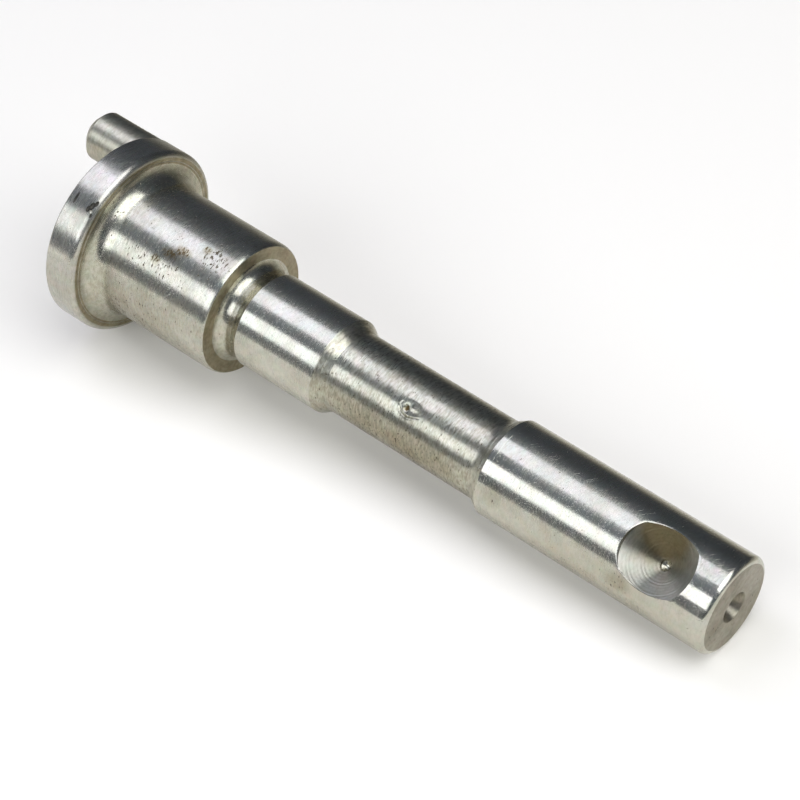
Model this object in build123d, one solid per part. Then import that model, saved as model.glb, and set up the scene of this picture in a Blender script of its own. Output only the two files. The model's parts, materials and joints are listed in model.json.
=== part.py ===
from build123d import *
import os
from math import asin, degrees, hypot, radians, tan

# Eccentric shaft turned from one steel bar, in millimetres.
# Lengths are stacked along X from the pin side face of the flange (x = 0) to the tail end.
# In that working frame the set-screw seat faces +Z and the eccentric pin sits on +Y.

# Flange
flange_dia = 28.0
flange_thickness = 5.2
flange_front_chamfer = 0.5
flange_back_chamfer = 0.3

# Main journal, between the flange and the shoulder
journal_dia = 20.0
journal_length = 20.85
journal_edge_radius = 0.35
root_radius = 2.0

# Front journal, with a grinding relief where it meets the shoulder
front_dia = 14.0
front_length = 13.6
relief_width = 3.3
relief_depth = 0.5
relief_entry_angle = 17.5
relief_radius = 1.0

# Neck, turned down between the front journal and the tail
neck_dia = 11.8
neck_span = 28.4
neck_flank_angle = 32.0
neck_root_radius = 2.0
neck_edge_radius = 0.4

# Tail
tail_dia = 14.0
tail_length = 36.0
tail_edge_radius = 1.1

# Set-screw seat drilled in the tail
seat_dia = 10.5
seat_from_tail = 9.4
seat_wall = 0.85
seat_point_angle = 110.0
seat_pilot_dia = 1.5
seat_pilot_depth = 0.5

# Centre hole in the tail end
centre_mouth_dia = 4.5
centre_pilot_dia = 2.0
centre_cone_angle = 60.0
centre_pilot_depth = 4.6
drill_point_angle = 118.0

# Eccentric pin on the far side of the flange, with a grinding relief at its root
pin_dia = 7.4
pin_length = 11.0
pin_offset = 10.2
pin_chamfer = 1.1
pin_relief_width = 0.8
pin_relief_depth = 0.25

# Knock in the neck, an oval crater
knock_length = 3.2
knock_width = 2.2
knock_depth = 0.4
knock_from_tail = 49.6
knock_roll = 1.5

# How the shaft lies: rolled about its own axis, tail end and flange rim on the floor
lie_roll = 34.0

flange_r = flange_dia / 2
journal_r = journal_dia / 2
front_r = front_dia / 2
neck_r = neck_dia / 2
tail_r = tail_dia / 2

# Stations along the axis
relief_run = relief_depth / tan(radians(relief_entry_angle))
x_flange = flange_thickness
x_shoulder = x_flange + journal_length
x_front = x_shoulder + relief_width
x_front_end = x_front + front_length
x_neck = x_front_end + (front_r - neck_r) / tan(radians(neck_flank_angle))
x_tail = x_front_end + neck_span
x_neck_end = x_tail - (tail_r - neck_r) / tan(radians(neck_flank_angle))
x_end = x_tail + tail_length


def turned_body():
    """The shaft as it leaves the lathe, pin and holes still missing."""
    relief_r = front_r - relief_depth
    with BuildSketch() as half_section:
        with BuildLine():
            Polyline(
                (0, 0),
                (0, flange_r),
                (x_flange, flange_r),
                (x_flange, journal_r),
                (x_shoulder, journal_r),
                (x_shoulder, relief_r),
                (x_front - relief_run, relief_r),
                (x_front, front_r),
                (x_front_end, front_r),
                (x_neck, neck_r),
                (x_neck_end, neck_r),
                (x_tail, tail_r),
                (x_end, tail_r),
                (x_end, 0),
                close=True,
            )
        make_face()

        def corner(x, r):
            return half_section.vertices().sort_by_distance((x, r))[0]

        fillet(corner(x_flange, journal_r), root_radius)
        fillet(corner(x_shoulder, journal_r), journal_edge_radius)
        fillet(corner(x_shoulder, relief_r), relief_radius)
        fillet(corner(x_neck_end, neck_r), neck_root_radius)
        fillet(corner(x_front_end, front_r), neck_edge_radius)
        fillet(corner(x_end, tail_r), tail_edge_radius)
        chamfer(corner(x_flange, flange_r), flange_front_chamfer)
        chamfer(corner(0, flange_r), flange_back_chamfer)
    return revolve(half_section.sketch, Axis.X)


def eccentric_pin():
    """Pin parallel to the shaft, rooted inside the flange."""
    pin_r = pin_dia / 2
    relief_r = pin_r - pin_relief_depth
    root = flange_thickness / 2
    outline = Polyline(
        (root, 0),
        (root, relief_r),
        (-pin_relief_width, relief_r),
        (-pin_relief_width, pin_r),
        (pin_chamfer - pin_length, pin_r),
        (-pin_length, pin_r - pin_chamfer),
        (-pin_length, 0),
        close=True,
    )
    return Pos(0, pin_offset, 0) * revolve(make_face(outline), Axis.X)


def screw_seat():
    """Cutter for the drilled seat: short wall, drill point and pilot."""
    wall_bottom = tail_r - seat_wall
    point_slope = tan(radians(seat_point_angle / 2))
    pilot_top = wall_bottom - (seat_dia - seat_pilot_dia) / 2 / point_slope
    pilot_bottom = pilot_top - seat_pilot_depth
    tip = pilot_bottom - seat_pilot_dia / 2 / tan(radians(drill_point_angle / 2))
    outline = Polyline(
        (0, tip),
        (seat_pilot_dia / 2, pilot_bottom),
        (seat_pilot_dia / 2, pilot_top),
        (seat_dia / 2, wall_bottom),
        (seat_dia / 2, tail_r + 1),
        (0, tail_r + 1),
        close=True,
    )
    cutter = revolve(Plane.XZ * make_face(outline), Axis.Z)
    return Pos(x_end - seat_from_tail, 0, 0) * cutter


def centre_hole():
    """Cutter for the lathe centre: cone, pilot and drill point."""
    cone_depth = (centre_mouth_dia - centre_pilot_dia) / 2 / tan(radians(centre_cone_angle / 2))
    tip = centre_pilot_depth + centre_pilot_dia / 2 / tan(radians(drill_point_angle / 2))
    outline = Polyline(
        (x_end, 0),
        (x_end, centre_mouth_dia / 2),
        (x_end - cone_depth, centre_pilot_dia / 2),
        (x_end - centre_pilot_depth, centre_pilot_dia / 2),
        (x_end - tip, 0),
        close=True,
    )
    return revolve(make_face(outline), Axis.X)


def knock():
    """Cutter for the oval crater: a ball stretched along the shaft."""
    # A ball of this radius, sunk to the crater depth, leaves the crater width in a flat surface.
    ball_r = ((knock_width / 2) ** 2 + knock_depth**2) / (2 * knock_depth)
    ball = scale(Sphere(ball_r), (knock_length / knock_width, 1, 1))
    sunk = Pos(x_end - knock_from_tail, 0, neck_r - knock_depth + ball_r) * ball
    return sunk.rotate(Axis.X, knock_roll)


def lie_down(shaft):
    """Roll the shaft, rest it on the tail edge and the flange rim, and centre it over the origin."""
    # The tail edge is an arc, the rim a corner; the floor is their common tangent line.
    arc_x = x_end - tail_edge_radius
    arc_r = tail_r - tail_edge_radius
    rim_x = x_flange - flange_front_chamfer
    span = arc_x - rim_x
    drop = flange_r - arc_r
    tilt = asin(drop / hypot(span, drop)) - asin(tail_edge_radius / hypot(span, drop))
    lying = Rot(Y=degrees(tilt)) * Rot(X=lie_roll) * shaft
    box = lying.bounding_box()
    return Pos(-box.center().X, -box.center().Y, -box.min.Z) * lying


shaft = turned_body() + eccentric_pin() - screw_seat() - centre_hole() - knock()
eccentric_shaft = lie_down(shaft)

os.makedirs("parts", exist_ok=True)
export_step(eccentric_shaft, "parts/eccentric_shaft.step")
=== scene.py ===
import json
from math import atan2, cos, degrees, exp, hypot, pi, radians, sin, tan

import bpy
from mathutils import Matrix, Vector


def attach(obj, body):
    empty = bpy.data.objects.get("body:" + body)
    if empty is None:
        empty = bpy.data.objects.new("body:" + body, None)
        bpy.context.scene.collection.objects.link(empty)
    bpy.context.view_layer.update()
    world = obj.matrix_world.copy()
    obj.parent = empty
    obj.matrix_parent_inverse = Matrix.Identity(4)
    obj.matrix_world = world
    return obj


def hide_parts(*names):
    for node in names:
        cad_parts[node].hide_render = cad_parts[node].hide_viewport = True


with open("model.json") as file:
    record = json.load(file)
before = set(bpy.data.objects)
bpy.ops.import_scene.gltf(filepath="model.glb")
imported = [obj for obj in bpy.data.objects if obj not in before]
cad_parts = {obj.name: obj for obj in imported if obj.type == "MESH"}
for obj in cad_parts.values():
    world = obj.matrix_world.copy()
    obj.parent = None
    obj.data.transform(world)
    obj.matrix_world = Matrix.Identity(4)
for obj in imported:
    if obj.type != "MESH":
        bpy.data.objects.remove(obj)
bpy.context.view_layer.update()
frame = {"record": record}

# The shaft is drawn straight, in millimetres, and laid down at the end. x runs from the tail end to the
# flange, y towards the set-screw seat and z towards the eccentric pin. The frame's mounts say how it lies,
# and lie turns the shaft's own directions into the frame's.
MM = 0.001
mounts = {mount["name"]: mount for mount in frame["record"]["mounts"]}
tail_end = Vector(mounts["centre_hole"]["pos_m"])
toward_flange = -Vector(mounts["centre_hole"]["axis"]).normalized()
toward_seat = Vector(mounts["screw_seat"]["axis"]).normalized()
toward_pin = toward_flange.cross(toward_seat)
sideways = Vector((0, 1, 0))
upright = sideways.cross(toward_flange)
lie = Matrix((toward_flange, toward_seat, toward_pin)).transposed()

# Radii, those of journals, tail and pin from the frame
TAIL_R = mounts["tail_spigot"]["dims"]["r_mm"]
FRONT_R = mounts["front_journal"]["dims"]["r_mm"]
JOURNAL_R = mounts["main_journal"]["dims"]["r_mm"]
PIN_R = mounts["crank_pin"]["dims"]["r_mm"]
NECK_R = 5.9
FLANGE_R = 14.0

# Lengths, and the stations along the axis that follow from them
TAIL_LENGTH = 36.0
NECK_SPAN = 28.4
FRONT_LENGTH = 13.6
RELIEF_WIDTH = 3.3
JOURNAL_LENGTH = 20.85
FLANGE_THICKNESS = 5.2
PIN_LENGTH = 11.0
X_FRONT = TAIL_LENGTH + NECK_SPAN
X_RELIEF = X_FRONT + FRONT_LENGTH
X_SHOULDER = X_RELIEF + RELIEF_WIDTH
X_FLANGE = X_SHOULDER + JOURNAL_LENGTH
X_BACK = X_FLANGE + FLANGE_THICKNESS

# Lathe centre hole and end face
CENTRE_MOUTH_R = 2.24
CENTRE_CONE_DEPTH = 2.2
CENTRE_PILOT_R = 1.0
CENTRE_PILOT_DEPTH = 4.6
CENTRE_DEPTH = 5.2
CENTRE_EDGE = 0.04
END_FACE_R = 6.12
END_EDGE_R = 0.898

# Set-screw seat drilled in the tail, and how far the tail's skin is finer on both sides of its axis
SEAT_X = 9.4
SEAT_R = 5.25
SEAT_WALL = 0.85
SEAT_CONE = radians(55)
SEAT_SKIN = 6.0
PILOT_R = 0.75
PILOT_DEPTH = 0.95

# Scores that the tool left where the tail ends
SCORE_DEPTH = 0.012
SCORE_HALF = 0.04

# Neck, with the points of its two scored flanks, each as the run along the axis and the depth of a score
FLANK = radians(32)
FLARE_R = 2.0
FLARE_SCORES = [(0.06, 0), (0.34, 0), (0.4, 0.02), (0.46, 0), (0.72, 0), (0.78, 0.02), (0.84, 0), (1.1, 0)]
RISE_SCORES = [(0.0, 0), (0.915, 0), (0.977, 0.02), (1.039, 0), (1.32, 0), (1.549, 0.02), (1.637, 0)]

# Knock in the neck, and the stretch of neck with a finer skin round it
KNOCK_X = 49.5
KNOCK_TURN = -0.5
KNOCK_HALF_LENGTH = 1.85
KNOCK_HALF_WIDTH = 1.2
KNOCK_SKIN = (46.6, 52.6)

# Front journal and its grinding relief, which slopes in, by RELIEF_SLOPE in degrees, over RELIEF_ENTRY
FRONT_EDGE_R = 0.12
RELIEF_DEPTH = 0.5
RELIEF_SLOPE = 25
RELIEF_ENTRY = 1.235
RELIEF_ENTRY_R = 0.8
RELIEF_ROOT_R = 1.5

# Main journal, its front edge worn oval, and the fillet that joins it to the flange
EDGE_REACH = 1.1
EDGE_FALL = 0.38
ROOT_R = 2.6

# Flange: worn front rim, broken back edge, and a fine groove in its face
RIM_EDGE = 0.9
BACK_CHAMFER = 0.3
FACE_GROOVE_R = 12.66
FACE_GROOVE_HALF = 0.06
# Nicks in the rim, each as x, turn from the seat towards the pin, width, length and depth
NICKS = [(106.0, 2.3, 0.36, 1.8, 0.2), (103.35, 0.3, 0.8, 1.1, 0.22), (103.0, 2.7, 0.9, 1.3, 0.3),
         (102.6, 5.2, 0.6, 1.0, 0.28), (102.5, -2.4, 0.4, 0.9, 0.25)]
FRESH_NICK = (102.75, -0.4, 0.55, 0.6, 0.25)

# Eccentric pin
PIN_THROW = 10.2
PIN_ROOTED = 3.0
PIN_CHAMFER = 1.1
PIN_RELIEF_WIDTH = 0.8
PIN_RELIEF_DEPTH = 0.25
PIN_RELIEF_R = 0.2

# Steps round each turned form, and the angle under which two faces shade as one skin
AROUND = 256
AROUND_SEAT = 192
AROUND_PIN = 128
SMOOTH_UNDER = radians(9)


def arc(cx, cy, radius, start, end, steps):
    """Points on an arc of a half section, ends included, angles in degrees."""
    turns = [radians(start + (end - start) * i / steps) for i in range(steps + 1)]
    return [(cx + radius * cos(t), cy + radius * sin(t)) for t in turns]


def straight(a, b, pitch):
    """Points between a and b about a pitch apart, ends left out."""
    count = max(1, round(hypot(b[0] - a[0], b[1] - a[1]) / pitch))
    return [(a[0] + (b[0] - a[0]) * i / count, a[1] + (b[1] - a[1]) * i / count) for i in range(1, count)]


def tail_outline():
    """Centre hole, end face with its rubbed edge, and the tail with two tool scores where it ends."""
    tip = (CENTRE_DEPTH, 0.0)
    pilot_floor = (CENTRE_PILOT_DEPTH, CENTRE_PILOT_R)
    cone_foot = (CENTRE_CONE_DEPTH, CENTRE_PILOT_R)
    mouth = (0.0, CENTRE_MOUTH_R)
    face_foot = (0.0, CENTRE_MOUTH_R + CENTRE_EDGE)
    points = [tip] + straight(tip, pilot_floor, 0.6)
    points += [pilot_floor] + straight(pilot_floor, cone_foot, 1.2)
    points += [cone_foot] + straight(cone_foot, mouth, 1.3)
    points += [(CENTRE_EDGE, CENTRE_MOUTH_R - CENTRE_EDGE / 2), face_foot]
    points += straight(face_foot, (0.0, END_FACE_R), 0.6)
    points += arc(END_EDGE_R, END_FACE_R, END_EDGE_R, 180, 101.5, 10)
    # The skin is finer round the set-screw seat, where it gets a lip.
    finer, coarser = (SEAT_X - SEAT_SKIN, TAIL_R), (SEAT_X + SEAT_SKIN, TAIL_R)
    points += straight(points[-1], finer, 0.5) + straight(finer, coarser, 0.3)
    first, last = TAIL_LENGTH - 0.86, TAIL_LENGTH - 0.02
    points += straight(coarser, (first - SCORE_HALF, TAIL_R), 1.0)
    points += [(first - SCORE_HALF, TAIL_R), (first, TAIL_R - SCORE_DEPTH), (first + SCORE_HALF, TAIL_R)]
    points += [(TAIL_LENGTH - 0.5, TAIL_R), (last - SCORE_HALF, TAIL_R), (last, TAIL_R - SCORE_DEPTH)]
    return points


def neck_outline():
    """Flare from the tail down to the neck, the neck, and the rise to the front journal."""
    slope = tan(FLANK)
    flare = [(TAIL_LENGTH + run, TAIL_R - run * slope - depth) for run, depth in FLARE_SCORES]
    fall = TAIL_R - NECK_R
    flare_end = TAIL_LENGTH + (fall - FLARE_R * (1 - cos(FLANK))) / slope + FLARE_R * sin(FLANK)
    turn = arc(flare_end, NECK_R + FLARE_R, FLARE_R, 270 - degrees(FLANK), 270, 7)
    finer, coarser = KNOCK_SKIN
    neck = straight((flare_end, NECK_R), (finer, NECK_R), 0.8) + [(finer, NECK_R)]
    neck += straight((finer, NECK_R), (coarser, NECK_R), 0.15) + [(coarser, NECK_R)]
    x_rise = X_FRONT - (FRONT_R - NECK_R) / slope
    neck += straight((coarser, NECK_R), (x_rise, NECK_R), 0.8)
    rise = [(x_rise + run, NECK_R + run * slope - depth) for run, depth in RISE_SCORES]
    return flare + turn + neck + rise


def front_journal_outline():
    """Front journal from its rounded edge to the root of the grinding relief, under the shoulder."""
    points = arc(X_FRONT + 0.1, FRONT_R - FRONT_EDGE_R, FRONT_EDGE_R, 90 + degrees(FLANK), 90, 4)
    lip = (X_RELIEF - 0.04, FRONT_R)
    entry = (X_RELIEF + 0.02, FRONT_R - 0.02)
    floor = FRONT_R - RELIEF_DEPTH
    turn = arc(X_RELIEF + RELIEF_ENTRY, floor + RELIEF_ENTRY_R, RELIEF_ENTRY_R, 270 - RELIEF_SLOPE, 270, 3)
    points += straight((X_FRONT + 0.1, FRONT_R), lip, 1.0) + [lip, entry]
    points += straight(entry, turn[0], 0.3) + turn
    return points + arc(X_SHOULDER - RELIEF_ROOT_R, floor + RELIEF_ROOT_R, RELIEF_ROOT_R, 270, 360, 14)


def main_journal_outline():
    """Shoulder, worn front edge, main journal and the fillet under the flange."""
    shoulder_foot = FRONT_R - RELIEF_DEPTH + RELIEF_ROOT_R
    points = straight((X_SHOULDER, shoulder_foot), (X_SHOULDER, JOURNAL_R - EDGE_FALL), 0.5)
    turns = [radians(90 * i / 12) for i in range(13)]
    points += [(X_SHOULDER + EDGE_REACH * (1 - cos(t)), JOURNAL_R - EDGE_FALL * (1 - sin(t))) for t in turns]
    points += straight((X_SHOULDER + EDGE_REACH, JOURNAL_R), (X_FLANGE - ROOT_R, JOURNAL_R), 0.8)
    return points + arc(X_FLANGE - ROOT_R, JOURNAL_R + ROOT_R, ROOT_R, 270, 360, 16)


def flange_outline():
    """Flange face with its fine groove, the worn rim, the broken back edge and the back."""
    groove_end = FACE_GROOVE_R + FACE_GROOVE_HALF
    points = [(X_FLANGE + FACE_GROOVE_HALF / 2, FACE_GROOVE_R), (X_FLANGE, groove_end)]
    points += straight((X_FLANGE, groove_end), (X_FLANGE, FLANGE_R - RIM_EDGE), 0.3)
    points += arc(X_FLANGE + RIM_EDGE, FLANGE_R - RIM_EDGE, RIM_EDGE, 180, 90, 10)
    # Both corners of the back edge's chamfer are a little soft.
    edge = (X_BACK - BACK_CHAMFER - 0.04, FLANGE_R)
    back = (X_BACK, FLANGE_R - BACK_CHAMFER - 0.03)
    points += straight((X_FLANGE + RIM_EDGE, FLANGE_R), edge, 0.4)
    points += [edge, (X_BACK - BACK_CHAMFER + 0.02, FLANGE_R - 0.02)]
    points += [(X_BACK - 0.03, FLANGE_R - BACK_CHAMFER + 0.03), back]
    return points + straight(back, (X_BACK, 0.4), 1.0) + [(X_BACK, 0.4), (X_BACK, 0.0)]


def pin_outline():
    """The eccentric pin, rooted inside the flange, with a grinding relief where it leaves it."""
    root = X_BACK - PIN_ROOTED
    end = X_BACK + PIN_LENGTH
    flat = PIN_R - PIN_CHAMFER
    sunk = PIN_R - PIN_RELIEF_DEPTH
    x_full = X_BACK + PIN_RELIEF_WIDTH
    points = [(root, 0.0), (root, sunk), (X_BACK - 0.2, sunk), (X_BACK + 0.2, sunk)]
    points += arc(x_full - PIN_RELIEF_R, sunk + PIN_RELIEF_R, PIN_RELIEF_R, 270, 360, 5)
    points += [(x_full, PIN_R - 0.03), (x_full + 0.03, PIN_R)]
    points += straight((x_full + 0.03, PIN_R), (end - PIN_CHAMFER, PIN_R), 1.0)
    # The corners of the chamfer are a little soft, like the relief's.
    slant = (end - PIN_CHAMFER + 0.05, PIN_R - 0.05)
    slant_end = (end - 0.05, flat + 0.05)
    points += [(end - PIN_CHAMFER - 0.06, PIN_R), slant]
    points += straight(slant, slant_end, 0.4) + [slant_end, (end, flat - 0.06)]
    return points + straight((end, flat - 0.06), (end, 0.3), 0.7) + [(end, 0.3), (end, 0.0)]


def drill_outline():
    """The drill that left the set-screw seat: pilot, point with its chatter rings, and wall."""
    wall_foot = TAIL_R - SEAT_WALL
    tip = wall_foot - (SEAT_R - PILOT_R) / tan(SEAT_CONE)
    top = TAIL_R + 1
    # The pilot ends in a blunt point with a soft shoulder.
    points = [(tip - PILOT_DEPTH, 0.0), (tip - 0.75, 0.35), (tip - 0.5, PILOT_R - 0.05)]
    points += [(tip - 0.42, PILOT_R), (tip, PILOT_R)]
    # Chatter rings half a millimetre apart, at most 0.03 mm deep and stronger by turns.
    cone = straight((tip, PILOT_R), (wall_foot, SEAT_R), 0.125)
    for i, (y, r) in enumerate(cone):
        points.append((y + (0.009 + 0.004 * cos(0.37 * i)) * cos(pi * i / 2), r))
    points += [(wall_foot, SEAT_R)] + straight((wall_foot, SEAT_R), (top, SEAT_R), 0.25)
    return points + [(top, SEAT_R), (top, 0.0)]


def spin_up(name, points, centre, axis, out, steps):
    """Draws a half section vertex by vertex and spins it round its axis. Each point is a run along the axis
    from the centre and a reach away from it."""
    bpy.ops.object.select_all(action="DESELECT")
    place = [Vector(centre) + Vector(axis) * x + Vector(out) * r for x, r in points]
    bpy.ops.mesh.primitive_plane_add(size=0.1, location=place[0])
    made = bpy.context.object
    made.name = name
    bpy.ops.object.transform_apply(location=True)
    bpy.ops.object.mode_set(mode="EDIT")
    bpy.ops.mesh.select_mode(type="VERT")
    bpy.ops.mesh.select_all(action="SELECT")
    bpy.ops.mesh.merge(type="CENTER")
    for before, after in zip(place, place[1:]):
        bpy.ops.mesh.extrude_region_move(TRANSFORM_OT_translate={"value": after - before})
    bpy.ops.mesh.select_all(action="SELECT")
    bpy.ops.mesh.spin(steps=steps, angle=2 * pi, center=centre, axis=axis)
    bpy.ops.mesh.select_all(action="SELECT")
    bpy.ops.mesh.remove_doubles(threshold=0.002)
    bpy.ops.mesh.normals_make_consistent(inside=False)
    bpy.ops.object.mode_set(mode="OBJECT")
    return made


def pick(piece):
    """Selects one piece alone and makes it active."""
    bpy.ops.object.select_all(action="DESELECT")
    piece.select_set(True)
    bpy.context.view_layer.objects.active = piece


def cut(body, tool, operation):
    """Boolean of two meshes, applied; the tool is removed."""
    change = body.modifiers.new("cut", "BOOLEAN")
    change.operation = operation
    change.solver = "EXACT"
    change.object = tool
    pick(body)
    bpy.ops.object.modifier_apply(modifier=change.name)
    bpy.data.objects.remove(tool)


def dent(body, height):
    """Divides the skin where the height reaches and pushes it by Displace modifiers on vertex groups."""
    pick(body)
    bpy.ops.object.mode_set(mode="EDIT")
    bpy.ops.mesh.select_mode(type="FACE")
    bpy.ops.mesh.select_all(action="DESELECT")
    bpy.ops.object.mode_set(mode="OBJECT")
    for face in body.data.polygons:
        face.select = abs(height(*face.center)) > 0.002
    bpy.ops.object.mode_set(mode="EDIT")
    bpy.ops.mesh.subdivide(number_cuts=2)
    bpy.ops.object.mode_set(mode="OBJECT")
    places = [(v.index, height(*v.co)) for v in body.data.vertices]
    for name, sign in (("raised", 1), ("sunk", -1)):
        largest = max(sign * h for i, h in places)
        group = body.vertex_groups.new(name=name)
        for index, h in places:
            if sign * h > 0.0001:
                group.add([index], sign * h / largest, "REPLACE")
        push = body.modifiers.new(name, "DISPLACE")
        push.vertex_group = group.name
        push.direction = "NORMAL"
        push.mid_level = 0.0
        push.strength = sign * largest
    for name in ("raised", "sunk"):
        bpy.ops.object.modifier_apply(modifier=name)
    body.vertex_groups.clear()


def knock_height(x, y, z):
    """How far the skin stands out round the knock in the neck: an uneven bowl, creased along one side, with
    a pit and a small boss in it."""
    dx = x - KNOCK_X
    dz = NECK_R * (atan2(z, y) - radians(KNOCK_TURN))
    if y < 0 or abs(dx) > 2.8 or abs(dz) > 2.2:
        return 0.0
    bearing = atan2(dz, dx)
    uneven = 1 + 0.03 * cos(3 * bearing) + 0.03 * sin(5 * bearing)
    ring = hypot(dx / KNOCK_HALF_LENGTH, dz / KNOCK_HALF_WIDTH) * uneven
    lean = (0.3 * dx - dz) / max(hypot(dx, dz), 0.01)
    bowl = 0.15 * max(0.0, 1 - (ring / 1.12) ** 2) ** 2
    swell = 0.03 * max(0.0, lean) * exp(-(((ring - 1.12) / 0.12) ** 2))
    crease = 0.17 * max(0.0, 0.05 + lean) * exp(-(((ring - 0.96) / 0.08) ** 2))
    boss = 0.08 * exp(-(hypot((dx + 0.35) / 0.6, (dz - 0.2) / 0.38) ** 2))
    pit = 0.2 * exp(-(hypot((dx - 0.7) / 0.36, (dz + 0.15) / 0.44) ** 2))
    return NECK_R - hypot(y, z) + swell - crease + boss - pit - bowl


def lip_height(x, y, z):
    """How far the skin stands out round the set-screw seat: a low lip, then the seat's rubbed edge."""
    away = hypot(x - SEAT_X, z)
    if y < 0 or hypot(y, z) < TAIL_R - 0.05 or not 3.5 < away < 6.1:
        return 0.0
    # Where the drill's cone, and not its wall, meets the skin, the seat is narrower.
    slope = 1 / tan(SEAT_CONE)
    start = TAIL_R - SEAT_WALL - SEAT_R * slope
    bend = slope**2 + (z / away) ** 2
    cone_rim = (hypot(start * slope, (bend * (TAIL_R**2 - start**2)) ** 0.5) - start * slope) / bend
    outside = away - min(SEAT_R, cone_rim)
    if abs(outside) > 0.8:
        return 0.0
    outside = max(outside, -0.12)
    # The edge is rubbed most on the flange's side and least on the tail's.
    rubbed = max(0.0, 0.35 + 0.65 * (0.97 * (x - SEAT_X) - 0.25 * z) / away)
    edge = 0.05 * rubbed * max(0.0, 1 - outside / 0.13) ** 2
    return TAIL_R - hypot(y, z) + 0.01 * exp(-(((outside - 0.25) / 0.2) ** 2)) - edge


def nick(skin, x, turn, width, length, depth):
    """A gouge along the flange's rim, as a tool to cut away: a squashed ball that bites its own depth."""
    bpy.ops.object.select_all(action="DESELECT")
    thick = width * 0.6
    reach = FLANGE_R - depth + thick
    where = (x, reach * cos(radians(turn)), reach * sin(radians(turn)))
    bpy.ops.mesh.primitive_uv_sphere_add(segments=24, ring_count=12, radius=1.0, location=where,
                                         rotation=(radians(turn), 0, 0), scale=(width / 2, thick, length / 2))
    made = bpy.context.object
    bpy.ops.object.transform_apply(location=True, rotation=True, scale=True)
    made.data.materials.append(skin)
    return made


# Node settings by what they do. The inputs of Map Range are value, from, to, and the new from and to.
PLUS = {"operation": "ADD"}
MINUS = {"operation": "SUBTRACT"}
TIMES = {"operation": "MULTIPLY"}
TIMES_PLUS = {"operation": "MULTIPLY_ADD"}
OVER = {"operation": "DIVIDE"}
LARGER = {"operation": "MAXIMUM"}
SCALED = {"operation": "SCALE"}
LENGTH = {"operation": "LENGTH"}
UNIT = {"operation": "NORMALIZE"}
CROSS = {"operation": "CROSS_PRODUCT"}
ALONG = {"operation": "DOT_PRODUCT"}
SMOOTH = {"interpolation_type": "SMOOTHSTEP"}
BLEND = {"data_type": "RGBA", "blend_type": "MIX"}
TINT = {"data_type": "RGBA", "blend_type": "MULTIPLY"}
# The colour sockets of the Mix node
FACTOR, FIRST, SECOND, MIXED = 0, 6, 7, 2


def linear(code):
    """An sRGB hex colour as linear RGBA."""
    parts = [int(code[i : i + 2], 16) / 255 for i in (1, 3, 5)]
    return [p / 12.92 if p <= 0.04045 else ((p + 0.055) / 1.055) ** 2.4 for p in parts] + [1.0]


def add(tree, kind, settings=None, inputs=None, output=0):
    """Adds a node with its settings and links, and returns one of its outputs if it has any."""
    made = tree.nodes.new(kind)
    for key, value in (settings or {}).items():
        setattr(made, key, value)
    for key, value in (inputs or {}).items():
        if isinstance(value, bpy.types.NodeSocket):
            tree.links.new(value, made.inputs[key])
        else:
            made.inputs[key].default_value = value
    return made.outputs[output] if made.outputs else None


def emptied(owner):
    """The node tree of a material or the world, with nothing in it yet."""
    owner.use_nodes = True
    owner.node_tree.nodes.clear()
    return owner.node_tree


# Tool lines. Real ones are about 0.05 mm apart; they are drawn 0.17 mm apart, so that they show, and run
# 1 to 2 mm round the axis before they fade.
LINES_PER_MM = 6.0
LINE_SPREAD = 0.9
# On a face the lines are rings, so a share of the reach counts as a run along the axis.
RING_SHARE = 0.6
# Pits and scratches are this deep, in millimetres.
PIT_DEPTH = 0.02


def shaft_place(tree, about_seat):
    """Object coordinates, the same in the shaft's own millimetres, and those with x along the axis that the
    tool turned about: the shaft's, or the seat's for the drill."""
    place = add(tree, "ShaderNodeTexCoord", output="Object")
    local = add(tree, "ShaderNodeMapping", {"vector_type": "TEXTURE"},
                {0: place, 1: tail_end, 2: lie.to_euler(), 3: (MM, MM, MM)})
    if not about_seat:
        return place, local, local
    centred = add(tree, "ShaderNodeVectorMath", MINUS, {0: local, 1: (SEAT_X, 0, 0)})
    parts = add(tree, "ShaderNodeSeparateXYZ", inputs={0: centred}).node.outputs
    return place, local, add(tree, "ShaderNodeCombineXYZ", inputs={0: parts[1], 1: parts[0], 2: parts[2]})


def tool_lines(tree, turning):
    """Noise drawn out into fine lines round the axis, and into rings on the faces."""
    across = add(tree, "ShaderNodeVectorMath", TIMES, {0: turning, 1: (0, 1, 1)})
    reach = add(tree, "ShaderNodeVectorMath", LENGTH, {0: across}, "Value")
    spoke = add(tree, "ShaderNodeVectorMath", UNIT, {0: across})
    along = add(tree, "ShaderNodeSeparateXYZ", inputs={0: turning})
    rings = add(tree, "ShaderNodeMath", TIMES_PLUS, {0: reach, 1: RING_SHARE, 2: along})
    lengthways = add(tree, "ShaderNodeCombineXYZ", inputs={0: rings})
    spread = add(tree, "ShaderNodeVectorMath", SCALED, {0: spoke, "Scale": LINE_SPREAD})
    ring_space = add(tree, "ShaderNodeVectorMath", PLUS, {0: lengthways, 1: spread})
    return add(tree, "ShaderNodeTexNoise", None,
               {"Vector": ring_space, "Scale": LINES_PER_MM, "Detail": 2.0, "Roughness": 0.5}).node.outputs


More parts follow.
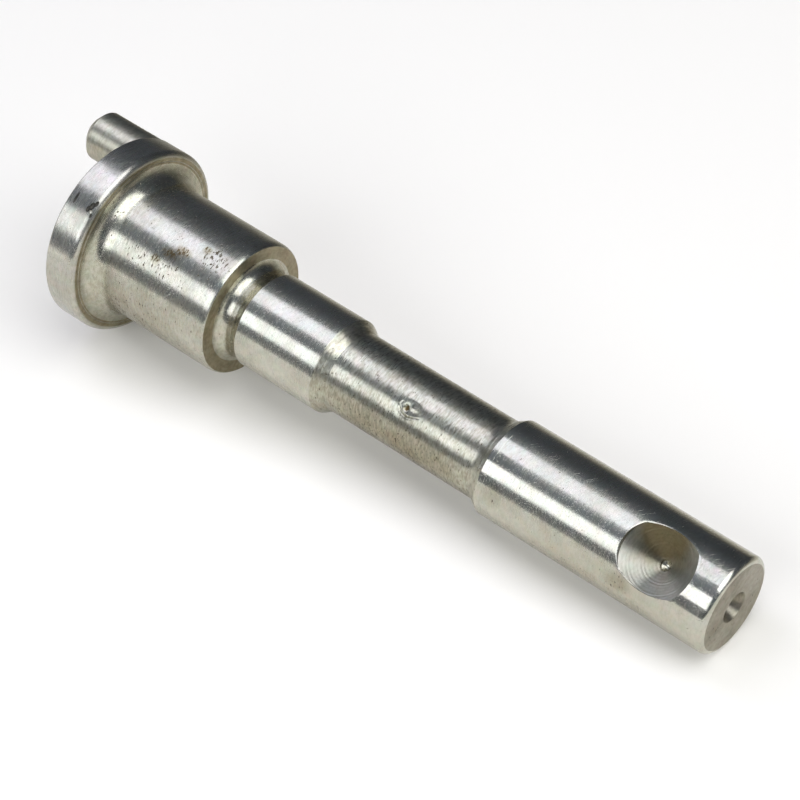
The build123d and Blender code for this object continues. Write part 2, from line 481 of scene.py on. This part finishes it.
def leant_skin(tree, place, lines, line_lean, about_seat):
    """The direction in which the tool lines run, and the skin leant a little by each line, round the axis
    and twice as far along it."""
    axis = toward_seat if about_seat else toward_flange
    hub = tail_end + toward_flange * SEAT_X * MM if about_seat else tail_end
    from_hub = add(tree, "ShaderNodeVectorMath", MINUS, {0: place, 1: hub})
    groove = add(tree, "ShaderNodeVectorMath", CROSS, {0: axis, 1: from_hub})
    groove = add(tree, "ShaderNodeVectorMath", UNIT, {0: groove})
    leant = add(tree, "ShaderNodeNewGeometry", output="Normal")
    beside = add(tree, "ShaderNodeVectorMath", CROSS, {0: leant, 1: groove})
    lean = add(tree, "ShaderNodeVectorMath", MINUS, {0: lines["Color"], 1: (0.5, 0.5, 0.5)})
    lean = add(tree, "ShaderNodeSeparateXYZ", inputs={0: lean}).node.outputs
    for direction, share, most in ((groove, lean[0], line_lean), (beside, lean[1], 2.0 * line_lean)):
        amount = add(tree, "ShaderNodeMath", TIMES, {0: share, 1: most})
        push = add(tree, "ShaderNodeVectorMath", SCALED, {0: direction, "Scale": amount})
        leant = add(tree, "ShaderNodeVectorMath", PLUS, {0: leant, 1: push})
    return groove, add(tree, "ShaderNodeVectorMath", UNIT, {0: leant})


def patch(tree, local, x, turn, radius, reach_x, reach_round):
    """1 in the middle of a patch of the skin, falling to 0 at its rim. Its turn is in degrees from the seat
    towards the pin, and the rest in millimetres."""
    middle = (x, radius * cos(radians(turn)), radius * sin(radians(turn)))
    reaches = (reach_x, reach_round, reach_round)
    away = add(tree, "ShaderNodeVectorMath", MINUS, {0: local, 1: middle})
    away = add(tree, "ShaderNodeVectorMath", OVER, {0: away, 1: reaches})
    away = add(tree, "ShaderNodeVectorMath", LENGTH, {0: away}, "Value")
    return add(tree, "ShaderNodeMapRange", SMOOTH, {0: away, 1: 0.2, 2: 1.0, 3: 1.0, 4: 0.0})


def dampness_and_shade(tree, local, wide, stain, damp_and_shade):
    """How damp the skin has lain and how stained it is, in broad clouds and in the patches listed. Along the
    side that mirrors the floor, some patches also paint shade there, darker and browner.
    """
    damped = add(tree, "ShaderNodeMapRange", None, {0: wide, 1: 0.35, 2: 0.7, 3: 0.0, 4: 0.5})
    stain_and_shade = add(tree, "ShaderNodeMath", TIMES, {0: damped, 1: stain})
    for *spot, crowding, staining_and_shade in damp_and_shade:
        near = patch(tree, local, *spot)
        damped = add(tree, "ShaderNodeMath", TIMES_PLUS, {0: near, 1: crowding, 2: damped})
        stain_and_shade = add(tree, "ShaderNodeMath", TIMES_PLUS, {0: near, 1: staining_and_shade, 2: stain_and_shade})
    return damped, stain_and_shade


def pits(tree, dashed, damped, pitting):
    """1 in each pit: dashes 0.1 to 0.2 mm wide, crowded where the shaft has lain damp."""
    spots = add(tree, "ShaderNodeTexNoise", None,
                {"Vector": dashed, "Scale": 4.6, "Detail": 1.5, "Roughness": 0.5})
    crowd = add(tree, "ShaderNodeMath", TIMES_PLUS, {0: damped, 1: 0.07, 2: spots})
    return add(tree, "ShaderNodeMapRange", None,
               {0: crowd, 1: 0.76 - pitting, 2: 0.80 - pitting, 3: 0.0, 4: 1.0})


def pitted_and_scratched(tree, local, pit):
    """Height of the skin with its pits and its handling scratches. Those are hair lines about 4 mm long in
    two slants, drawn 0.15 mm wide so that they show."""
    height = add(tree, "ShaderNodeMath", TIMES, {0: pit, 1: -1.0})
    for slant in (38, -52):
        leaning = add(tree, "ShaderNodeMapping", {"vector_type": "TEXTURE"},
                      {0: local, 2: (0, radians(slant), radians(slant)), 3: (4.0, 0.15, 0.15)})
        hair = add(tree, "ShaderNodeTexNoise", None, {"Vector": leaning, "Scale": 1.0, "Detail": 1.0})
        hair = add(tree, "ShaderNodeMapRange", None, {0: hair, 1: 0.66, 2: 0.74, 3: 0.0, 4: -0.25})
        height = add(tree, "ShaderNodeMath", PLUS, {0: height, 1: hair})
    return height


def filmed(tree, local, colour):
    """The bare colour, warm and cool by turns, under a faint many-coloured film of oil."""
    warm = linear(colour)
    cool = [warm[0] * 0.92, warm[1] * 0.99, warm[2] * 0.99, 1.0]
    white = (1.0, 1.0, 1.0, 1.0)
    drift = add(tree, "ShaderNodeTexNoise", None,
                {"Vector": local, "Scale": 0.5, "Detail": 5.0, "Roughness": 0.7})
    drift = add(tree, "ShaderNodeMapRange", None, {0: drift, 1: 0.35, 2: 0.65, 3: 0.0, 4: 1.0})
    base = add(tree, "ShaderNodeMix", BLEND, {FACTOR: drift, FIRST: warm, SECOND: cool}, MIXED)
    oil = add(tree, "ShaderNodeTexNoise", None, {"Vector": local, "Scale": 0.8, "Detail": 3.0}, "Color")
    oil = add(tree, "ShaderNodeMix", BLEND, {FACTOR: 0.12, FIRST: white, SECOND: oil}, MIXED)
    return add(tree, "ShaderNodeMix", TINT, {FACTOR: 1.0, FIRST: base, SECOND: oil}, MIXED)


def dried_rust(tree, local, dashed, rust, base, rough):
    """Colour and roughness with dried rust on them: a thin brown haze, with darker specks broken up along
    the tool lines."""
    broken = add(tree, "ShaderNodeTexNoise", None,
                 {"Vector": dashed, "Scale": 4.5, "Detail": 3.0, "Roughness": 0.7})
    rusted = 0.0
    for spot in rust:
        rusted = add(tree, "ShaderNodeMath", PLUS, {0: patch(tree, local, *spot), 1: rusted})
    haze = add(tree, "ShaderNodeMath", TIMES, {0: rusted, 1: broken})
    haze = add(tree, "ShaderNodeMapRange", None, {0: haze, 1: 0.05, 2: 0.6, 3: 0.0, 4: 0.75})
    speck = add(tree, "ShaderNodeMath", TIMES_PLUS, {0: rusted, 1: 0.22, 2: broken})
    speck = add(tree, "ShaderNodeMapRange", None, {0: speck, 1: 0.70, 2: 0.76, 3: 0.0, 4: 0.9})
    base = add(tree, "ShaderNodeMix", TINT, {FACTOR: haze, FIRST: base, SECOND: linear("#AA9C78")}, MIXED)
    base = add(tree, "ShaderNodeMix", BLEND, {FACTOR: speck, FIRST: base, SECOND: linear("#5A4A2E")}, MIXED)
    return base, add(tree, "ShaderNodeMath", TIMES_PLUS, {0: speck, 1: 0.3, 2: rough})


def steel(name, colour, roughness, anisotropy, line_lean, grain, pitting, soil, stain=0.45, damp_and_shade=(), rust=(),
          rubbed=(), about_seat=False):
    """Bare carbon steel as a tool left it, with the tool's lines, pits, damp patches, handling dirt and some
    painted shade.

    line_lean is how far a line leans the skin, and grain how deep the skin is torn, in millimetres. pitting
    crowds the pits, soil darkens the grain and stain the damp clouds. damp_and_shade, rust and rubbed list
    patches as patch takes them, and each damp_and_shade one ends with how much it crowds the pits and how
    much it stains and darkens; along the side that mirrors the floor, that darkening is partly painted shade.
    """
    material = bpy.data.materials.new(name)
    tree = emptied(material)
    place, local, turning = shaft_place(tree, about_seat)
    lines = tool_lines(tree, turning)
    groove, leant = leant_skin(tree, place, lines, line_lean, about_seat)

    # Grain: torn and etched skin in dashes about 0.3 mm by 0.8 mm, longer round the axis.
    dashed = add(tree, "ShaderNodeVectorMath", TIMES, {0: local, 1: (1.0, 0.4, 0.4)})
    grained = add(tree, "ShaderNodeTexNoise", None,
                  {"Vector": dashed, "Scale": 3.0, "Detail": 3.0, "Roughness": 0.6})
    torn = add(tree, "ShaderNodeBump", None,
               {"Height": grained, "Strength": 1.0, "Distance": grain * MM, "Normal": leant})

    wide = add(tree, "ShaderNodeTexNoise", None, {"Vector": local, "Scale": 0.3, "Detail": 4.0})
    damped, stain_and_shade = dampness_and_shade(tree, local, wide, stain, damp_and_shade)
    pit = pits(tree, dashed, damped, pitting)
    height = pitted_and_scratched(tree, local, pit)
    bumped = add(tree, "ShaderNodeBump", None,
                 {"Height": height, "Strength": 1.0, "Distance": PIT_DEPTH * MM, "Normal": torn})

    # Colour: darker in the dirt, the damp patches with their painted shade, the tool lines and the pits.
    base = filmed(tree, local, colour)
    dirty = add(tree, "ShaderNodeMapRange", None, {0: grained, 1: 0.42, 2: 0.62, 3: 0.0, 4: soil})
    lined = add(tree, "ShaderNodeMapRange", None,
                {0: lines["Fac"], 1: 0.35, 2: 0.6, 3: 2.4 * line_lean, 4: 0.0})
    for share, tint in ((dirty, "#9C9688"), (stain_and_shade, "#A89A7E"), (lined, "#98948C")):
        base = add(tree, "ShaderNodeMix", TINT, {FACTOR: share, FIRST: base, SECOND: linear(tint)}, MIXED)
    base = add(tree, "ShaderNodeMix", BLEND, {FACTOR: pit, FIRST: base, SECOND: linear("#5C5446")}, MIXED)

    # Roughness: finer in the tool lines, coarser in clouds and pits, and smoother where the skin is rubbed.
    rough = add(tree, "ShaderNodeMapRange", None,
                {0: lines["Fac"], 1: 0.3, 2: 0.7, 3: roughness - 0.09, 4: roughness - 0.01})
    rough = add(tree, "ShaderNodeMath", TIMES_PLUS, {0: wide, 1: 0.12, 2: rough})
    rough = add(tree, "ShaderNodeMath", TIMES_PLUS, {0: pit, 1: 0.25, 2: rough})
    for spot in rubbed:
        near = patch(tree, local, *spot)
        rough = add(tree, "ShaderNodeMath", TIMES_PLUS, {0: near, 1: -0.07, 2: rough})
    if rust:
        base, rough = dried_rust(tree, local, dashed, rust, base, rough)
    shader = add(tree, "ShaderNodeBsdfPrincipled", None, {
        "Base Color": base, "Metallic": 1.0, "Roughness": rough, "Anisotropic": anisotropy,
        "Anisotropic Rotation": 0.25, "Normal": bumped, "Tangent": groove})
    add(tree, "ShaderNodeOutputMaterial", inputs={"Surface": shader})
    return material


# Tail and front journal, ground round and rubbed by handling: the brightest and cleanest skin, in which the
# lamps show as sharp streaks along the shaft.
# The long patch at turn -80 is partly stain and pits and partly painted shade: it darkens and browns the side
# of the tail that mirrors the floor.
ground = steel(
    "ground_carbon_steel", "#CBC6B8", roughness=0.25, anisotropy=0.85, line_lean=0.012, grain=0.001,
    pitting=-0.005, soil=0.12,
    damp_and_shade=[(33.5, -36, TAIL_R, 2.4, 2.4, 1.0, 0.3), (13, -46, TAIL_R, 3, 2, 1.2, 0.3),
          (18, -80, TAIL_R, 24, 7.5, 0.5, 0.3)],
    rubbed=[(1, 0, TAIL_R, 17, 12), (35, 0, TAIL_R, 4, 9)])

# Main journal, ground and then worn in its bearing: duller, with more pits, and a row of rust spots.
# The patch at turn -80 is partly stain and pits and partly painted shade: it darkens and browns the side of
# the journal that mirrors the floor.
journal_steel = steel(
    "worn_ground_carbon_steel", "#CAC5B7", roughness=0.26, anisotropy=0.85, line_lean=0.02, grain=0.002,
    pitting=0.03, soil=0.22,
    damp_and_shade=[(84.6, 20, JOURNAL_R, 3.4, 3.4, 2.2, 0.1), (95, -80, JOURNAL_R, 18, 11, 1.0, 0.4),
          (92, -10, JOURNAL_R, 9, 3, 1.3, 0.1)],
    rust=[(92.5, -5, JOURNAL_R, 1.4, 1.1), (90.8, 4, JOURNAL_R, 2.4, 1.3), (89.2, 11, JOURNAL_R, 2.0, 1.1),
          (86.5, 22, JOURNAL_R, 1.2, 0.9)])

# Flange rim, turned fine and knocked about: bright but dulled, with soft streaks.
rim = steel(
    "worn_flange_carbon_steel", "#C8C3B7", roughness=0.26, anisotropy=0.8, line_lean=0.03, grain=0.002,
    pitting=-0.02, soil=0.2)

# Eccentric pin, turned and left so: the lamps blur on it into one broad sheen.
pin_steel = steel(
    "rough_pin_carbon_steel", "#C7C1AF", roughness=0.4, anisotropy=0.7, line_lean=0.04, grain=0.003,
    pitting=0.01, soil=0.3)

# Neck, rough turned: coarse lines break the streaks into short dashes, and pits and stains gather in them.
# The patch at turn -75 is partly etched pits and stain and partly painted shade: it darkens and browns the
# side of the neck that mirrors the floor.
turned = steel(
    "rough_turned_carbon_steel", "#CEC9B8", roughness=0.3, anisotropy=0.8, line_lean=0.14, grain=0.005,
    pitting=0.038, soil=0.42,
    damp_and_shade=[(50, -75, NECK_R, 20, 7.5, 1.3, 0.6)],
    rust=[(50.2, -2, NECK_R - 0.2, 0.7, 0.65), (50.1, -2.5, NECK_R - 0.2, 0.4, 0.5)])

# Shoulder and flange face, faced with the tool's side: rings that give a dull, even brown grey.
faced = steel(
    "faced_carbon_steel", "#B2A68B", roughness=0.42, anisotropy=0.6, line_lean=0.1, grain=0.004,
    pitting=0.0, soil=0.35)

# End faces and centre hole, faced finer: a plain matt grey with faint rings.
end_steel = steel(
    "faced_end_carbon_steel", "#A79F8F", roughness=0.42, anisotropy=0.6, line_lean=0.06, grain=0.002,
    pitting=0.03, soil=0.25,
    damp_and_shade=[(0, -60, 4, 3, 3.5, 1.0, 0.2)])

# Set-screw seat, drilled: fine rings about its own axis fan the light out from the point, half of it stained.
drilled = steel(
    "drilled_carbon_steel", "#B3AFA2", roughness=0.37, anisotropy=0.7, line_lean=0.06, grain=0.001,
    pitting=-0.04, soil=0.15, stain=0.3,
    damp_and_shade=[(10.6, 32, 5.6, 7.0, 6.0, 0.2, 1.1)], about_seat=True)

# Reliefs, fillets and the seat's pilot, cut with a round nose: the smoothest skin, with crisp bright bands.
grooved = steel(
    "grooved_carbon_steel", "#CAC5B4", roughness=0.23, anisotropy=0.7, line_lean=0.04, grain=0.002,
    pitting=0.0, soil=0.3,
    damp_and_shade=[(101.5, 12, JOURNAL_R + 0.6, 1.8, 3.4, 1.4, 0.0)])

# Old nicks, gouged by other parts and filled with dirt: dark and matt.
gouged = steel(
    "gouged_carbon_steel", "#524F48", roughness=0.42, anisotropy=0.3, line_lean=0.1, grain=0.002,
    pitting=0.0, soil=0.3)

SKINS = [ground, journal_steel, turned, faced, end_steel, grooved, rim, pin_steel, drilled, gouged]
# How near a flat face's station a place counts as being on the face, in millimetres
ON_FACE = 0.01


def skin_at(x, reach):
    """The steel that the turned shaft shows at a place along and off its axis."""
    # Nearer the axis than 3 mm there is only the centre hole.
    if x < ON_FACE or x > X_BACK - ON_FACE or reach < 3:
        return end_steel
    if abs(x - X_SHOULDER) < ON_FACE or abs(x - X_FLANGE) < ON_FACE:
        return faced
    if x > X_FLANGE + 0.04:
        return rim
    if X_RELIEF < x < X_SHOULDER or X_FLANGE - ROOT_R < x < X_FLANGE:
        return grooved
    if TAIL_LENGTH < x < X_FRONT:
        return turned
    return journal_steel if x > X_SHOULDER else ground


def turned_shaft():
    """The shaft as it leaves the lathe, with a steel for each stretch."""
    outline = tail_outline() + neck_outline() + front_journal_outline()
    outline += main_journal_outline() + flange_outline()
    made = spin_up("shaft", outline, (0, 0, 0), (1, 0, 0), (0, 1, 0), AROUND)
    for skin in SKINS:
        made.data.materials.append(skin)
    for face in made.data.polygons:
        face.material_index = SKINS.index(skin_at(face.center.x, hypot(face.center.y, face.center.z)))
    return made


def eccentric_pin():
    """The pin, parallel to the shaft."""
    made = spin_up("pin", pin_outline(), (0, 0, PIN_THROW), (1, 0, 0), (0, 1, 0), AROUND_PIN)
    made.data.materials.append(pin_steel)
    return made


def seat_drill():
    """The drill for the set-screw seat, with another steel for its pilot."""
    made = spin_up("drill", drill_outline(), (SEAT_X, 0, 0), (0, 1, 0), (1, 0, 0), AROUND_SEAT)
    made.data.materials.append(drilled)
    made.data.materials.append(grooved)
    for face in made.data.polygons:
        if hypot(face.center.x - SEAT_X, face.center.z) < PILOT_R:
            face.material_index = 1
    return made


def rim_nicks():
    """All the nicks as one tool. The fresh one still shows the rim's bright steel."""
    made = nick(rim, *FRESH_NICK)
    made.data.materials.append(gouged)
    for old in NICKS:
        cut(made, nick(gouged, *old), "UNION")
    return made


shaft = turned_shaft()
dent(shaft, knock_height)
dent(shaft, lip_height)
cut(shaft, eccentric_pin(), "UNION")
nicks = rim_nicks()
drill = seat_drill()
pick(drill)
nicks.select_set(True)
bpy.ops.object.join()
cut(shaft, drill, "DIFFERENCE")
shaft.location = tail_end
shaft.rotation_euler = lie.to_euler()
shaft.scale = (MM, MM, MM)
pick(shaft)
bpy.ops.object.transform_apply(location=True, rotation=True, scale=True)
bpy.ops.object.shade_smooth_by_angle(angle=SMOOTH_UNDER)
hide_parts("eccentric_shaft")
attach(shaft, "root")

# White card, and how far from the shaft its glow starts to rise and is plain white, in metres
CARD_SIZE = 0.9
FADE_START = 0.14
FADE_END = 0.4
# Table past the card, half a millimetre higher, and the distance over which it falls into shade
TABLE_SIZE = 1.0
TABLE_EDGE = 0.026
TABLE_LIFT = 0.0005
TABLE_FALL = 0.038
# Room, and the lamps, which aim at the middle of the shaft
ROOM_R = 1.6
LAMP_DISTANCE = 0.7
LAMP_AIM = Vector((0, 0, 0.012))


def seen(tree):
    """1 where the camera, a reflection or a look through glass meets the surface, and 0 where light does."""
    path = add(tree, "ShaderNodeLightPath").node.outputs
    met = add(tree, "ShaderNodeMath", LARGER, {0: path["Is Camera Ray"], 1: path["Is Glossy Ray"]})
    return add(tree, "ShaderNodeMath", LARGER, {0: met, 1: path["Is Transmission Ray"]})


def white_card():
    """Matt white card, which takes the shaft's shadow. It glows a little near the shaft, and further out its
    glow rises to plain white."""
    material = bpy.data.materials.new("white_card")
    tree = emptied(material)
    far = add(tree, "ShaderNodeNewGeometry", output="Position")
    far = add(tree, "ShaderNodeVectorMath", LENGTH, {0: far}, "Value")
    far = add(tree, "ShaderNodeMapRange", SMOOTH, {0: far, 1: FADE_START, 2: FADE_END, 3: 0.08, 4: 1.0})
    glow = add(tree, "ShaderNodeMath", TIMES, {0: seen(tree), 1: far})
    lit = add(tree, "ShaderNodeBsdfDiffuse", inputs={"Color": linear("#F7F4EA")})
    lift = add(tree, "ShaderNodeEmission", inputs={"Color": linear("#FFFFFF"), "Strength": glow})
    both = add(tree, "ShaderNodeAddShader", inputs={0: lit, 1: lift})
    add(tree, "ShaderNodeOutputMaterial", inputs={"Surface": both})
    return material


def shaded_table():
    """The table past the card: white beside it, and darker with the distance from it."""
    material = bpy.data.materials.new("shaded_table")
    tree = emptied(material)
    place = add(tree, "ShaderNodeNewGeometry", output="Position")
    back = add(tree, "ShaderNodeSeparateXYZ", inputs={0: place}, output="Y")
    back = add(tree, "ShaderNodeMath", OVER, {0: back, 1: TABLE_FALL})
    back = add(tree, "ShaderNodeMath", TIMES_PLUS, {0: back, 1: back, 2: 1.0})
    back = add(tree, "ShaderNodeMath", OVER, {0: 1.0, 1: back})
    back = add(tree, "ShaderNodeMath", PLUS, {0: back, 1: 0.09})
    glow = add(tree, "ShaderNodeEmission", inputs={"Color": linear("#FFFBF0"), "Strength": back})
    add(tree, "ShaderNodeOutputMaterial", inputs={"Surface": glow})
    return material


def dark_room():
    """Walls in shade, lighter where the lamps spill on them and at the two ends of the room."""
    material = bpy.data.materials.new("dark_room")
    tree = emptied(material)
    place = add(tree, "ShaderNodeNewGeometry", output="Position")
    place = add(tree, "ShaderNodeVectorMath", UNIT, {0: place})
    toward_lamps = cos(radians(10)) * upright - sin(radians(10)) * sideways
    spill = add(tree, "ShaderNodeVectorMath", ALONG, {0: place, 1: toward_lamps}, "Value")
    spill = add(tree, "ShaderNodeMapRange", None, {0: spill, 1: 0.26, 2: 0.94, 3: 0.0, 4: 1.0})
    spill = add(tree, "ShaderNodeMath", TIMES, {0: spill, 1: spill})
    ends = add(tree, "ShaderNodeVectorMath", ALONG, {0: place, 1: toward_flange}, "Value")
    ends = add(tree, "ShaderNodeMath", TIMES, {0: ends, 1: ends})
    ends = add(tree, "ShaderNodeMath", TIMES_PLUS, {0: ends, 1: 0.13, 2: 0.08})
    spill = add(tree, "ShaderNodeMath", TIMES_PLUS, {0: spill, 1: 0.3, 2: ends})
    glow = add(tree, "ShaderNodeEmission", inputs={"Color": linear("#DCE8FF"), "Strength": spill})
    add(tree, "ShaderNodeOutputMaterial", inputs={"Surface": glow})
    return material


def set_stage(name, material, only_reflected=True):
    """Names and dresses the mesh just added. Table and room show only in the steel."""
    made = bpy.context.object
    made.name = name
    made.data.materials.append(material)
    if only_reflected:
        made.visible_camera = False
        made.visible_diffuse = False
        made.visible_shadow = False
    return made


def strip(name, across, half_width, along_from, along_to, level, colour):
    """A soft strip lamp parallel to the shaft. across is its turn from upright towards -Y, along_from and
    along_to are the leans at which the shaft sees its ends, all in degrees."""
    start, end = (LAMP_DISTANCE * tan(radians(a)) for a in (along_from, along_to))
    data = bpy.data.lights.new(name, "AREA")
    data.shape = "RECTANGLE"
    data.size = end - start
    data.size_y = 2 * LAMP_DISTANCE * tan(radians(half_width))
    data.color = linear(colour)[:3]
    data.energy = level * pi * data.size * data.size_y
    made = bpy.data.objects.new(name, data)
    bpy.context.scene.collection.objects.link(made)
    side = cos(radians(across)) * upright - sin(radians(across)) * sideways
    middle = LAMP_AIM + side * LAMP_DISTANCE + toward_flange * (start + end) / 2
    turned_to = Matrix((toward_flange, side.cross(toward_flange), side)).transposed().to_4x4()
    made.matrix_world = Matrix.Translation(middle) @ turned_to


# The shaft lies on white card, on a table that falls into shade behind it, in a dark room.
bpy.ops.mesh.primitive_plane_add(size=CARD_SIZE)
set_stage("floor", white_card(), only_reflected=False)
bpy.ops.mesh.primitive_plane_add(size=TABLE_SIZE, location=(0, TABLE_EDGE + TABLE_SIZE / 2, TABLE_LIFT))
set_stage("table", shaded_table())
bpy.ops.mesh.primitive_uv_sphere_add(segments=48, ring_count=24, radius=ROOM_R)
set_stage("room", dark_room())

# One lamp on the camera's side, two overhead, towards the flange and towards the tail, and one faint and low
strip("side_lamp", across=55, half_width=14, along_from=-22, along_to=45, level=2.65, colour="#F1F5FF")
strip("top_lamp", across=-3.5, half_width=17, along_from=13, along_to=70, level=2.1, colour="#E9EAFF")
strip("low_lamp", across=84, half_width=12, along_from=-10, along_to=45, level=0.16, colour="#F1F5FF")
strip("back_lamp", across=-3.5, half_width=25, along_from=-70, along_to=4, level=2.9, colour="#F6F8FF")

# White all round, and faint as a light
world = bpy.data.worlds.new("studio")
bpy.context.scene.world = world
sky = emptied(world)
white = add(sky, "ShaderNodeMapRange", inputs={"Value": seen(sky), "To Min": 0.05, "To Max": 1.0})
glow = add(sky, "ShaderNodeBackground", inputs={"Color": linear("#FFFFFF"), "Strength": white})
add(sky, "ShaderNodeOutputWorld", inputs={"Surface": glow})

# The camera stands where the photograph's did, as the shaft's outline gives it.
camera_data = bpy.data.cameras.new("camera")
camera_data.sensor_width = 36
camera_data.lens = 119.84
camera_data.clip_start = 0.01
camera_data.clip_end = 30
camera = bpy.data.objects.new("camera", camera_data)
camera.location = (0.18181, -0.17648, 0.26069)
camera.rotation_euler = (radians(44.8795), radians(4.4445), radians(40.6857))
bpy.context.scene.collection.objects.link(camera)
bpy.context.scene.camera = camera
bpy.context.scene.view_settings.view_transform = "Standard"
